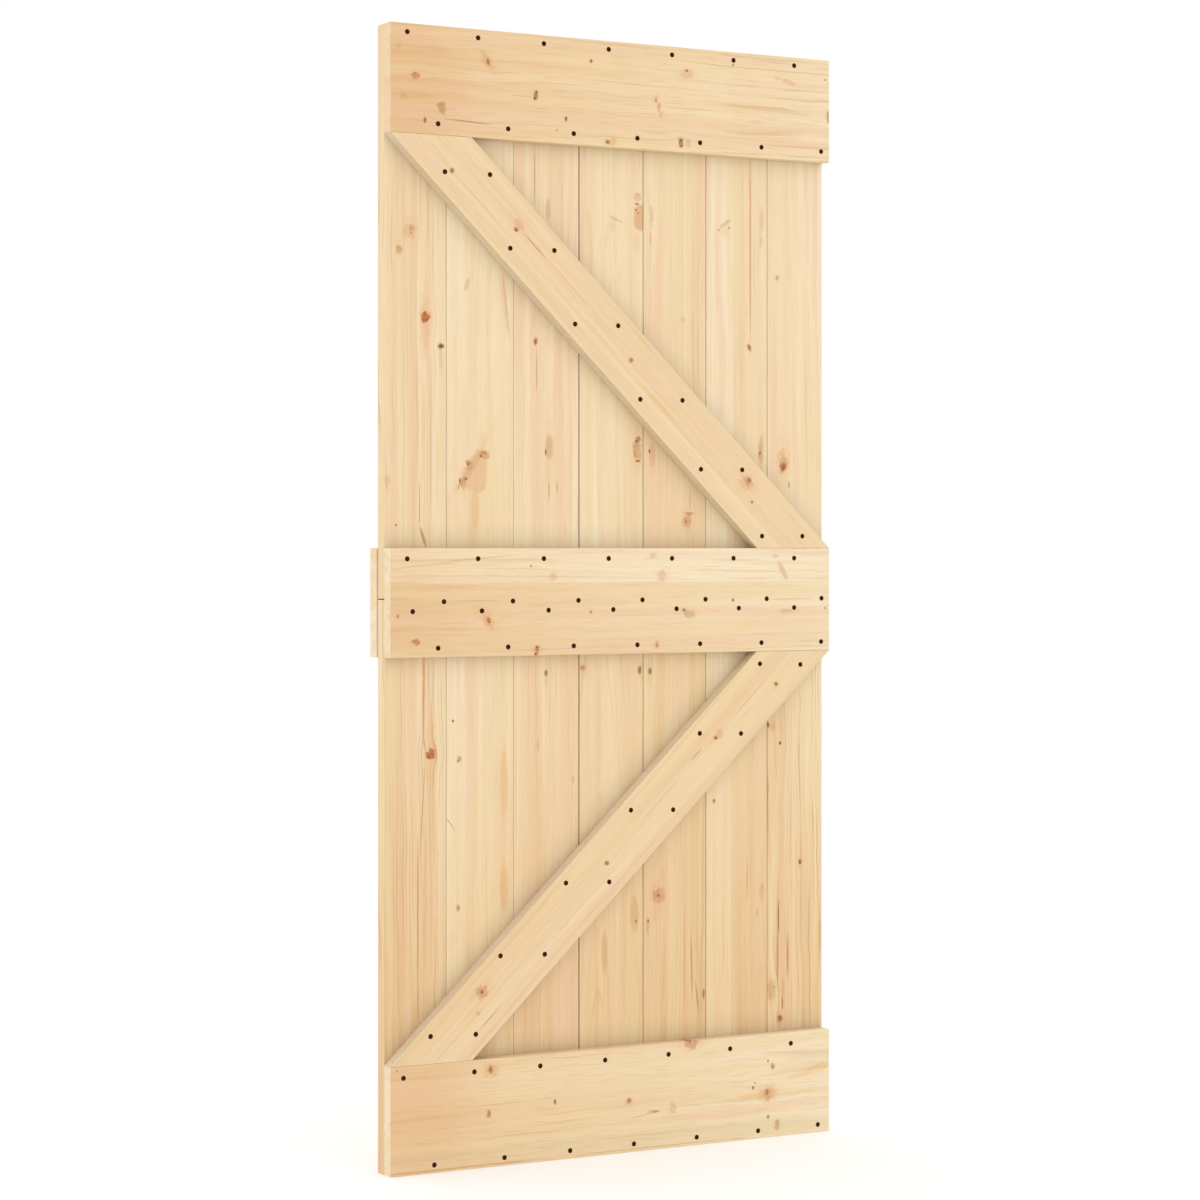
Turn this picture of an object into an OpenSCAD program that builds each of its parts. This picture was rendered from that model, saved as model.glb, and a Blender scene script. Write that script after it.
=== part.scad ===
// Boarded barn door leaf in raw pine.
// Tongued and grooved planks in two lengths meet at a seam behind the middle rail.
// Three front rails, one rear rail and two diagonal braces hold them, with countersunk screws.
// The origin is at the middle of the bottom edge. The front faces -Y and +Z is up.

/* [Leaf] */
// Width over the planks and the front rails
leaf_w = 950; // [850:5:1050]
// Height of the leaf
leaf_h = 2100; // [1950:5:2250]

/* [Planks] */
// Thickness of a plank
plank_t = 27; // [22:0.5:40]
// Distance from one plank joint to the next
plank_pitch = 139.4; // [125:0.2:150]
// Open gap between the faces of neighbouring planks in a tight joint
face_gap = 0.4; // [0.2:0.1:1.4]
// Bevel along the long edges of a plank's faces
plank_bevel = 0.5; // [0.3:0.1:2]
// Height of the seam between the lower and the upper planks
seam_z = 1050; // [1040:1:1060]
// Open gap at that seam
seam_gap = 2; // [0.5:0.5:4]

/* [Tongue and groove] */
// How far a tongue stands out of its plank
tongue_l = 8; // [5:0.5:12]
// Thickness of a tongue
tongue_t = 7; // [4:0.5:10]
// Clearance between a tongue and each wall of its groove
tongue_clear = 0.2; // [0.1:0.05:0.4]

/* [Rails and braces] */
// Thickness of the rails and braces
rail_t = 27; // [20:0.5:40]
// Height of a rail
rail_h = 200; // [190:1:240]
// Height of the middle rails' lower edge
mid_rail_z = 943.5; // [900:0.5:980]
// How far each end of the rear rail stands past the planks
rear_overhang = 3; // [0:0.5:10]
// Width of a brace, square to its length
brace_w = 115; // [100:1:150]
// Gap between a brace's cut end and the rail it butts against
butt_gap = 0.2; // [0.1:0.1:2]
// Radius of the eased edges of the rails and braces
edge_r = 1.2; // [0.4:0.1:4]

/* [Screws] */
// Diameter of a screw's head
head_d = 9.5; // [8:0.1:11]
// Height of the straight rim round the head
head_rim = 0.4; // [0.2:0.1:0.8]
// Depth of the head below the wood's face
head_sink = 0.3; // [0.1:0.1:1]
// Diameter of a screw's shank
shank_d = 4.5; // [3.5:0.1:5.5]
// Clearance round a screw in its hole
screw_clear = 0.1; // [0.05:0.05:0.3]
// Wood left behind the point of a screw that ends in a plank
point_cover = 4; // [2:0.5:8]
// How deep the middle rail's screws bite into the rear rail
rear_bite = 16; // [10:0.5:19]

/* [Drive recess] */
// Length of one arm of the cross, tip to tip
drive_l = 5; // [4:0.1:6]
// Width of the arms
drive_w = 1.1; // [0.7:0.1:1.5]
// Depth of the cross
drive_depth = 1.6; // [0.8:0.1:2.2]

/* [Screw rows] */
// Height between a rail's upper and lower row
row_rise = 163.7; // [150:0.1:180]
// Height between the middle rail's two inner rows
inner_rise = 17.7; // [12:0.1:30]
// Height of the inner rows' middle above the rail's middle
inner_lift = -7; // [-10:0.1:10]

/* [Screw pairs] */
// Distance between the two screws of a pair in a brace
pair_gap = 92.7; // [70:0.1:100]
// Sideways distance of the upper brace's first pair from the middle of its left end cut
upper_pair_start = 74; // [40:1:120]
// Sideways distance of its last pair from the middle of its right end cut
upper_pair_end = 26; // [24:1:80]
// Sideways distance of the lower brace's first pair from the middle of its left end cut
lower_pair_start = 44; // [30:1:120]
// Sideways distance of its last pair from the middle of its right end cut
lower_pair_end = 30; // [28:1:80]

/* [Hidden] */
PLANKS = 7;
PAIRS = 6;

// How much wider each plank joint has opened, counted from the left
joint_open = [0.2, 0, 1.6, 0.9, 0.6, 0.5];
// Height of each rail's outer rows above the middle of the rail
top_lift = 2.3;
mid_lift = -1.4;
bottom_lift = -3.3;
// Sideways shift of the bottom rail's rows
bottom_shift = -7.6;
// Inset of each plank's screws in a rail's outer rows, from the plank's left and right edge
outer_left = [34, 52, 50, 49, 48, 46, 45];
outer_right = [30, 25, 26, 28, 29, 30, 19];
// Inset of each plank's screws in the inner rows, from the plank's left and right edge
inner_left = [45, 60, 60, 59, 58, 58, 45];
inner_right = [18, 15, 16, 17, 17, 18, 18];
// Each screw pair's place past its even spacing along the brace, and above the brace's middle line
upper_pair_past = [0, -2, -2, 2, -1, 0];
upper_pair_lift = [5, 1, -3, -5, -7, -2];
lower_pair_past = [0, 2, -2, -4, 6, 0];
lower_pair_lift = [7, 9, 6, 4, 1, 3];
// How far a pair's right screw stands above its left one
upper_pair_tilt = 0;
lower_pair_tilt = -2.8;

// How far cutters and clipped stock run past what they cut
over = 1;
// Sides of round shapes
round_fn = 32;
$fn = round_fn;

pine_plank = [0.93, 0.81, 0.64];
pine_rail = [0.91, 0.77, 0.60];
pine_brace = [0.92, 0.79, 0.61];
dark_steel = [0.16, 0.10, 0.05];

left_x = -leaf_w / 2;
right_x = leaf_w / 2;
plank_front_y = -plank_t / 2;
plank_rear_y = plank_t / 2;
front_y = plank_front_y - rail_t;
top_rail_z = leaf_h - rail_h;
bottom_rail_z = 0;
groove_t = tongue_t + 2 * tongue_clear;
head_r = head_d / 2;
shank_r = shank_d / 2;
// A 45 degree countersink is as deep as the head stands out from the shank
sink_h = head_r - shank_r;
short_screw_l = rail_t + plank_t - head_sink - point_cover;
long_screw_l = rail_t + plank_t - head_sink + rear_bite;

// Places of the planks, counted from 1 at the left
function joint_x(k) = (k - PLANKS / 2) * plank_pitch;
function joint_gap(k) = face_gap + joint_open[k - 1];
function plank_left(i) = i == 1 ? left_x : joint_x(i - 1);
function plank_right(i) = i == PLANKS ? right_x : joint_x(i);

// Length of a brace's level end cut, so that its two sharp tips reach the leaf's opposite edges
function brace_cut(rise) =
    let (w2 = brace_w * brace_w)
    let (h2 = rise * rise)
    let (l2 = leaf_w * leaf_w)
    (sqrt(w2 * w2 * l2 + (h2 - w2) * w2 * (h2 + l2)) - w2 * leaf_w) / (h2 - w2);

// Slope of the upper and the lower brace's middle line, and their middle heights
upper_low_z = mid_rail_z + rail_h + butt_gap;
upper_rise = top_rail_z - butt_gap - upper_low_z;
upper_slope = -upper_rise / (leaf_w - brace_cut(upper_rise));
lower_low_z = bottom_rail_z + rail_h + butt_gap;
lower_rise = mid_rail_z - butt_gap - lower_low_z;
lower_slope = lower_rise / (leaf_w - brace_cut(lower_rise));

// Screw places as [x, z]
function left_row(inset, shift, z) =
    [for (i = [1 : PLANKS]) [plank_left(i) + inset[i - 1] + shift, z]];
function right_row(inset, shift, z) =
    [for (i = [1 : PLANKS]) [plank_right(i) - inset[i - 1] + shift, z]];
function outer_rows(rail_z, lift, shift) =
    let (mid_z = rail_z + rail_h / 2 + lift)
    concat(
        left_row(outer_left, shift, mid_z + row_rise / 2),
        right_row(outer_right, shift, mid_z - row_rise / 2)
    );
function inner_rows(rail_z) =
    let (mid_z = rail_z + rail_h / 2 + inner_lift)
    concat(
        right_row(inner_right, 0, mid_z + inner_rise / 2),
        left_row(inner_left, 0, mid_z - inner_rise / 2)
    );
function pairs(start, end, past, lift, tilt, low_z, rise, slope) =
    let (half = (leaf_w - brace_cut(rise)) / 2)
    let (step = (2 * half - start - end) / (PAIRS - 1))
    [for (k = [0 : PAIRS - 1])
        for (side = [-1, 1])
            let (x = start - half + k * step + past[k])
            [x + side * pair_gap / 2, low_z + rise / 2 + slope * x + lift[k] + side * tilt / 2]];

top_places = outer_rows(top_rail_z, top_lift, 0);
mid_places = concat(outer_rows(mid_rail_z, mid_lift, 0), inner_rows(mid_rail_z));
bottom_places = outer_rows(bottom_rail_z, bottom_lift, bottom_shift);
upper_places = pairs(
    upper_pair_start, upper_pair_end, upper_pair_past, upper_pair_lift, upper_pair_tilt,
    upper_low_z, upper_rise, upper_slope
);
lower_places = pairs(
    lower_pair_start, lower_pair_end, lower_pair_past, lower_pair_lift, lower_pair_tilt,
    lower_low_z, lower_rise, lower_slope
);
short_places = concat(top_places, bottom_places, upper_places, lower_places);

// Screws and their holes, along +Y from the front face

module along_y() {
    rotate([-90, 0, 0]) rotate_extrude() children();
}

module screw(screw_l) {
    difference() {
        along_y()
            polygon([
                [0, 0],
                [head_r, 0],
                [head_r, head_rim],
                [shank_r, head_rim + sink_h],
                [shank_r, screw_l - shank_d],
                [0, screw_l],
            ]);
        for (turn = [0, 90])
            rotate([0, turn, 0])
                translate([-drive_l / 2, -over, -drive_w / 2])
                    cube([drive_l, drive_depth + over, drive_w]);
    }
}

module screws(places, screw_l) {
    color(dark_steel)
        for (p = places)
            translate([p[0], front_y + head_sink, p[1]]) screw(screw_l);
}

module screw_hole(screw_l) {
    rim_end = head_sink + head_rim;
    along_y()
        polygon([
            [0, -over],
            [head_r + screw_clear, -over],
            [head_r + screw_clear, rim_end],
            [shank_r + screw_clear, rim_end + sink_h],
            [shank_r + screw_clear, head_sink + screw_l + screw_clear],
            [0, head_sink + screw_l + screw_clear],
        ]);
}

module screw_holes(places, screw_l) {
    for (p = places)
        translate([p[0], front_y, p[1]]) screw_hole(screw_l);
}

// Boards

module eased_rect(w, h) {
    translate([edge_r, 0]) square([w - 2 * edge_r, h]);
    translate([0, edge_r]) square([w, h - 2 * edge_r]);
    for (x = [edge_r, w - edge_r])
        for (y = [edge_r, h - edge_r])
            translate([x, y]) circle(edge_r);
}

// A board along +X from the origin, with eased long edges
module board(board_l, board_h) {
    rotate([90, 0, 90])
        linear_extrude(board_l)
            eased_rect(rail_t, board_h);
}

// A rail is such a board whose upright end edges are eased too
module rail(rail_l) {
    intersection() {
        board(rail_l, rail_h);
        linear_extrude(rail_h) eased_rect(rail_l, rail_t);
    }
}

module front_rail(rail_z, places, screw_l) {
    color(pine_rail)
        difference() {
            translate([left_x, front_y, rail_z]) rail(leaf_w);
            screw_holes(places, screw_l);
        }
}

module rear_rail() {
    color(pine_rail)
        difference() {
            translate([left_x - rear_overhang, plank_rear_y, mid_rail_z])
                rail(leaf_w + 2 * rear_overhang);
            screw_holes(mid_places, long_screw_l);
        }
}

// Stock along the brace's middle line, cut level at the two rails
module brace(low_z, rise, slope, places) {
    stock_l = leaf_w + rise;
    color(pine_brace)
        difference() {
            intersection() {
                translate([0, front_y, low_z + rise / 2])
                    rotate([0, -atan(slope), 0])
                        translate([-stock_l / 2, 0, -brace_w / 2])
                            board(stock_l, brace_w);
                translate([-stock_l / 2, front_y - over, low_z])
                    cube([stock_l, rail_t + 2 * over, rise]);
            }
            screw_holes(places, short_screw_l);
        }
}

// Section of plank i: bevelled body, tongue on its right edge and groove in its left edge
module plank_section(i) {
    face_l = plank_left(i) + (i == 1 ? 0 : joint_gap(i - 1) / 2);
    face_r = plank_right(i) - (i == PLANKS ? 0 : joint_gap(i) / 2);
    difference() {
        union() {
            polygon([
                [face_l + plank_bevel, plank_front_y],
                [face_r - plank_bevel, plank_front_y],
                [face_r, plank_front_y + plank_bevel],
                [face_r, plank_rear_y - plank_bevel],
                [face_r - plank_bevel, plank_rear_y],
                [face_l + plank_bevel, plank_rear_y],
                [face_l, plank_rear_y - plank_bevel],
                [face_l, plank_front_y + plank_bevel],
            ]);
            if (i < PLANKS)
                translate([face_r - over, -tongue_t / 2]) square([over + tongue_l, tongue_t]);
        }
        if (i > 1) {
            groove_l = tongue_l - joint_gap(i - 1) + tongue_clear;
            translate([face_l - over, -groove_t / 2]) square([over + groove_l, groove_t]);
        }
    }
}

// Only the screws that can reach a plank are cut from it
function near_plank(i, places) =
    [for (p = places)
        if (p[0] > plank_left(i) - tongue_l && p[0] < plank_right(i) + tongue_l + shank_d) p];

module plank(i, low_z, high_z) {
    color(pine_plank)
        difference() {
            translate([0, 0, low_z]) linear_extrude(high_z - low_z) plank_section(i);
            screw_holes(near_plank(i, short_places), short_screw_l);
            screw_holes(near_plank(i, mid_places), long_screw_l);
        }
}

module upper_plank(i) { plank(i, seam_z + seam_gap / 2, leaf_h); }
module lower_plank(i) { plank(i, 0, seam_z - seam_gap / 2); }
module top_rail() { front_rail(top_rail_z, top_places, short_screw_l); }
module mid_rail() { front_rail(mid_rail_z, mid_places, long_screw_l); }
module bottom_rail() { front_rail(bottom_rail_z, bottom_places, short_screw_l); }
module upper_brace() { brace(upper_low_z, upper_rise, upper_slope, upper_places); }
module lower_brace() { brace(lower_low_z, lower_rise, lower_slope, lower_places); }
module top_rail_screws() { screws(top_places, short_screw_l); }
module mid_rail_screws() { screws(mid_places, long_screw_l); }
module bottom_rail_screws() { screws(bottom_places, short_screw_l); }
module upper_brace_screws() { screws(upper_places, short_screw_l); }
module lower_brace_screws() { screws(lower_places, short_screw_l); }

for (i = [1 : PLANKS]) {
    upper_plank(i);
    lower_plank(i);
}
top_rail();
mid_rail();
bottom_rail();
rear_rail();
upper_brace();
lower_brace();
top_rail_screws();
mid_rail_screws();
bottom_rail_screws();
upper_brace_screws();
lower_brace_screws();
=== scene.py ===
"""Dresses the boarded barn door leaf in raw pine and dark steel."""
import math
from collections import namedtuple

import bpy
from mathutils import Euler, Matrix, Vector


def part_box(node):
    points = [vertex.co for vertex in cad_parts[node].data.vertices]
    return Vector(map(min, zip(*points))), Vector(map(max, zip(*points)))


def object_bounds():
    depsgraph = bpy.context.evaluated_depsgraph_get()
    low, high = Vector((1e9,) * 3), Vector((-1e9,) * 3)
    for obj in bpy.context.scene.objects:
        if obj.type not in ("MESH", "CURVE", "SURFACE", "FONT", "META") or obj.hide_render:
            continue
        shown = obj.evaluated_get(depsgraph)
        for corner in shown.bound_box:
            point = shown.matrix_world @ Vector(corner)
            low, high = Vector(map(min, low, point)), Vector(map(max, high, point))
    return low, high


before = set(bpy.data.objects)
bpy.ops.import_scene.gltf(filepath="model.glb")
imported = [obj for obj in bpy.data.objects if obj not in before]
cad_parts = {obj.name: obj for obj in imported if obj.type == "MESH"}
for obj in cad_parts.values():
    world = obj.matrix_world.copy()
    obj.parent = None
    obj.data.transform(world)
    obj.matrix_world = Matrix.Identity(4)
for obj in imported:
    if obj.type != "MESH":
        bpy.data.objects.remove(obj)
cad_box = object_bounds()

# Camera, fitted to the photo's 1200 x 1200 pixels
PHOTO_SIZE = 1200
FOCAL_PX = 3151.9
CENTRE_U = 600.0
CENTRE_V = 548.0
SENSOR_MM = 36.0
CAMERA_AT = Vector((-2.9215, -5.229, 1.1437))
CAMERA_TURN = Euler((math.pi / 2, 0, math.radians(-29.05)))

# Light levels, and the floor's size, m
WHITE = (1.0, 1.0, 1.0, 1.0)
SKY = 1.05
FLOOR_ALBEDO = 0.88
FLOOR_FILL = 0.17
FLOOR_SIZE = 40.0

# The leaf has three layers of one depth: the rails and braces, the planks, and the rear rail
MM = 1000.0
FRONT_Y = cad_box[0][1]
PLANK_Y = FRONT_Y + (cad_box[1][1] - FRONT_Y) / 3
# Length of a brace's level end cut, m
BRACE_CUT = 0.166
# Directions of the grain in the leaf's plane
UP = (0.0, 1.0)
ACROSS = (1.0, 0.0)


def srgb(red, green, blue):
    """A colour written in 8-bit sRGB, as the shader's linear colour."""
    def linear(level):
        part = level / 255
        return part / 12.92 if part <= 0.04045 else ((part + 0.055) / 1.055) ** 2.4
    return (linear(red), linear(green), linear(blue), 1.0)


# Pine from pale to deep, its yellow and pink streaks, and the late wood of its rings
PALE = srgb(252, 233, 198)
CREAM = srgb(247, 220, 178)
PEACH = srgb(240, 206, 159)
HONEY = srgb(228, 185, 131)
TONES = ((0.0, PALE), (0.33, CREAM), (0.66, PEACH), (1.0, HONEY))
STRAW = srgb(244, 221, 171)
PINK = srgb(244, 207, 172)
LATE = srgb(206, 163, 110)
# Marks in it
TAN = srgb(228, 171, 119)
RED = srgb(196, 104, 46)
OLIVE = srgb(186, 138, 76)
GOLD = srgb(235, 170, 90)
BROWN = srgb(106, 66, 32)
# Screws
STEEL = srgb(62, 28, 2)
BRIGHT_STEEL = srgb(76, 38, 8)

# Painted contact shade: what is left of each channel in open wood, under a ledge, on a ledge and in
# a gap
OPEN = WHITE
UNDER = (0.875, 0.935, 0.97, 1.0)
ABOVE = (0.755, 0.775, 0.845, 1.0)
GAP = (0.50, 0.36, 0.22, 1.0)
SHADES = ((0.0, GAP), (0.16, ABOVE), (0.40, ABOVE), (0.68, UNDER), (1.0, OPEN))
# Its reach, m, its rays, and how far it looks down from square to the surface, as a slope
CORNER_REACH = 0.045
CORNER_SAMPLES = 6
LOOK_DOWN = 0.27
# Height up to which the painted contact shade fades out near the floor, m
FLOOR_REACH = 0.05
# Painted shade on a brace's sides: what they keep of each channel
BRACE_SHADE = (0.83, 0.88, 1.0, 1.0)

# Patterns of the pine: the size of a wave along the grain, across it and into the board, mm
WANDER_WAVE = (210, 60, 70)
RIPPLE_WAVE = (48, 17, 30)
BAND_WAVE = (1000, 18, 30)
HUE_WAVE = (800, 30, 50)
DASH_WAVE = (60, 2.8, 2.8)
FIBRE_WAVE = (40, 0.9, 0.9)
RIDGE_WAVE = (300, 5, 5)
LUMP_WAVE = (10, 8, 14)
GRIT_WAVE = (7, 5, 9)
NOISE_MEAN = 0.5
# How far the rings lean across the board per unit along it
LEAN = 0.004
# Good and bad years: how many mm of rings they last, and how far they shift a ring, mm
YEARS_WAVE = 19
YEARS_SHIFT = 16.0
# How many mm a ring keeps its strength along the board, and across the rings
STRENGTH_ALONG = 260
STRENGTH_ACROSS = 9
# Steps of a new noise for each board, each glued strip and the hues
BOARD_SEED = (3.7, 1.9, 5.3)
STRIP_SEED = (31.7, 12.3, 7.9)
HUE_SEED = (4.1, 8.7, 2.3)
# A cut that lies beyond any board, mm
NO_CUT = 10000.0

# Smooth steps: where each starts and ends, and its values there if they aren't 0 and 1
RING_RISE = (0.66, 0.94)
RING_FALL = (1.0, 0.96)
RING_STRENGTH = (0.44, 0.66)
DASHES = (0.5, 0.74)
PINK_STREAKS = (0.52, 0.66, 0.0, 0.5)
STRAW_STREAKS = (0.48, 0.34, 0.0, 0.5)
FIBRE_TONE = (0.35, 0.65, 0.0, 0.06)
PINE_HAZE = (0.3, 0.7, 0.60, 0.70)
STEEL_HAZE = (0.3, 0.7, 0.55, 0.75)
SPECKS = (0.46, 0.62, 0.05, 1.0)
BODY_EDGE = (1.2, 0.7)
HALO_EDGE = (1.3, 0.35)
HEART_EDGE = (1.1, 0.45)
RAGGED_EDGE = (0.0, 1.0, 1.0, 0.2)
# What a distance along and across a mark counts for in its halo, which is wider
HALO_SCALE = (0.45, 0.8, 0.0)
# How ragged a mark's edge is, and its halo's share of that
RAGGED = 1.6
HALO_RAGGED = 0.6

# Late wood and knots are harder and a little smoother
LATE_GLOSS = -0.12
KNOT_GLOSS = -0.18
RIDGE_SHARE = 0.6
HAIR_SHARE = 0.4
BUMP_STRENGTH = 0.5
BUMP_DISTANCE = 0.0003
PINE_SPECULAR = 0.25
STEEL_SPECULAR = 0.1
# Waves of grime per m
GRIME_SCALE = 900

# Sockets of a colour Mix node, whose names aren't unique
MIX_FACTOR, MIX_FIRST, MIX_SECOND, MIX_RESULT = 0, 6, 7, 2


class Net:
    """Adds nodes to one tree, in the order in which they are used."""

    def __init__(self, tree):
        self.tree = tree

    def put(self, socket, value):
        if isinstance(value, bpy.types.NodeSocket):
            self.tree.links.new(value, socket)
        else:
            socket.default_value = value

    def fill(self, node, values):
        for label, value in values.items():
            self.put(node.inputs[label], value)

    def node(self, kind, **settings):
        made = self.tree.nodes.new(kind)
        for name, value in settings.items():
            setattr(made, name, value)
        return made

    def group(self, tree, values):
        made = self.node("ShaderNodeGroup", node_tree=tree)
        self.fill(made, values)
        return made.outputs

    def end(self, kind, shader):
        self.put(self.node(kind).inputs["Surface"], shader.outputs[0])

    def math(self, operation, *values):
        made = self.node("ShaderNodeMath", operation=operation)
        for socket, value in zip(made.inputs, values):
            self.put(socket, value)
        return made.outputs[0]

    def vector(self, operation, *values):
        made = self.node("ShaderNodeVectorMath", operation=operation)
        for socket, value in zip(made.inputs, values):
            self.put(socket, value)
        scalar = operation in ("LENGTH", "DOT_PRODUCT")
        return made.outputs["Value" if scalar else "Vector"]

    def split(self, vector):
        made = self.node("ShaderNodeSeparateXYZ")
        self.put(made.inputs[0], vector)
        return tuple(made.outputs)

    def join(self, x, y, z):
        made = self.node("ShaderNodeCombineXYZ")
        for socket, value in zip(made.inputs, (x, y, z)):
            self.put(socket, value)
        return made.outputs[0]

    def step(self, value, start, end, low=0.0, high=1.0):
        """A smooth step from low at start to high at end."""
        made = self.node("ShaderNodeMapRange", interpolation_type="SMOOTHSTEP", clamp=True)
        self.fill(made, {"Value": value, "From Min": start, "From Max": end,
                         "To Min": low, "To Max": high})
        return made.outputs[0]

    def noise(self, vector, detail=2.0):
        made = self.node("ShaderNodeTexNoise", noise_dimensions="3D")
        self.fill(made, {"Vector": vector, "Scale": 1.0, "Detail": detail, "Roughness": 0.5})
        return made.outputs[0]

    def waves(self, point, sizes, seed=None, detail=2.0):
        """Noise whose waves have these sizes along, across and into the board."""
        place = self.vector("MULTIPLY", point, tuple(1 / size for size in sizes))
        if seed is not None:
            place = self.vector("ADD", place, seed)
        return self.noise(place, detail)

    def swing(self, noise):
        """Noise about 0."""
        return self.math("SUBTRACT", noise, NOISE_MEAN)

    def mix(self, factor, first, second, blend="MIX"):
        made = self.node("ShaderNodeMix", data_type="RGBA", blend_type=blend)
        self.put(made.inputs[MIX_FACTOR], factor)
        self.put(made.inputs[MIX_FIRST], first)
        self.put(made.inputs[MIX_SECOND], second)
        return made.outputs[MIX_RESULT]

    def ramp(self, factor, stops):
        made = self.node("ShaderNodeValToRGB")
        self.put(made.inputs[0], factor)
        elements = made.color_ramp.elements
        while len(elements) < len(stops):
            elements.new(0.5)
        for element, (place, colour) in zip(elements, stops):
            element.position = place
            element.color = colour
        return made.outputs[0]


def new_group(name, inputs, outputs):
    tree = bpy.data.node_groups.new(name, "ShaderNodeTree")
    kinds = {"f": "NodeSocketFloat", "v": "NodeSocketVector", "c": "NodeSocketColor"}
    for label, kind in inputs:
        tree.interface.new_socket(label, in_out="INPUT", socket_type=kinds[kind])
    for label, kind in outputs:
        tree.interface.new_socket(label, in_out="OUTPUT", socket_type=kinds[kind])
    net = Net(tree)
    return net, net.node("NodeGroupInput").outputs, net.node("NodeGroupOutput").inputs


def new_material(name):
    material = bpy.data.materials.new(name)
    material.use_nodes = True
    material.node_tree.nodes.clear()
    return material, Net(material.node_tree)


def knot_group():
    """One mark: grain bends round it, and it leaves a soft halo, a body and a brown heart."""
    net, given, made = new_group(
        "pine_knot",
        (("Point", "v"), ("Rough", "f"), ("Speck", "f"), ("Shift", "f"), ("Marks", "v"),
         ("Tints", "v"), ("Centre", "v"), ("Inverse", "v"), ("Strength", "v"), ("Body", "v"),
         ("Gold", "f"), ("Bend", "f")),
        (("Shift", "f"), ("Marks", "v"), ("Tints", "v")),
    )
    board_along, board_across, _ = net.split(given["Point"])
    centre_along, centre_across, _ = net.split(given["Centre"])
    length, width, slant = net.split(given["Inverse"])
    along = net.math("SUBTRACT", board_along, centre_along)
    across = net.math("SUBTRACT", board_across, centre_across)
    level = net.math("SUBTRACT", across, net.math("MULTIPLY", along, slant))
    scaled = net.join(net.math("MULTIPLY", along, length), net.math("MULTIPLY", level, width), 0.0)
    reach = net.vector("LENGTH", net.vector("MULTIPLY", scaled, HALO_SCALE))
    far = net.math("MAXIMUM", reach, 1.0)
    bend = net.math("DIVIDE", net.math("MULTIPLY", across, given["Bend"]),
                    net.math("MULTIPLY", far, far))
    net.put(made["Shift"], net.math("SUBTRACT", given["Shift"], bend))
    soft_by, red_by, brown_by = net.split(given["Strength"])
    tan_by, olive_by, even = net.split(given["Body"])
    ragged = net.math("MULTIPLY", given["Rough"], net.step(even, *RAGGED_EDGE))
    edge = net.math("ADD", net.vector("LENGTH", scaled), ragged)
    body = net.step(edge, *BODY_EDGE)
    halo_edge = net.math("ADD", reach, net.math("MULTIPLY", ragged, HALO_RAGGED))
    halo = net.step(halo_edge, *HALO_EDGE)
    heart = net.math("MULTIPLY", net.step(edge, *HEART_EDGE),
                     net.math("MAXIMUM", given["Speck"], even))
    tan = net.math("MAXIMUM", net.math("MULTIPLY", halo, soft_by),
                   net.math("MULTIPLY", body, tan_by))
    marks = net.join(tan, net.math("MULTIPLY", body, red_by), net.math("MULTIPLY", heart, brown_by))
    net.put(made["Marks"], net.vector("MAXIMUM", given["Marks"], marks))
    tints = net.join(net.math("MULTIPLY", body, olive_by),
                     net.math("MULTIPLY", body, given["Gold"]), 0.0)
    net.put(made["Tints"], net.vector("MAXIMUM", given["Tints"], tints))
    return net.tree


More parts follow.
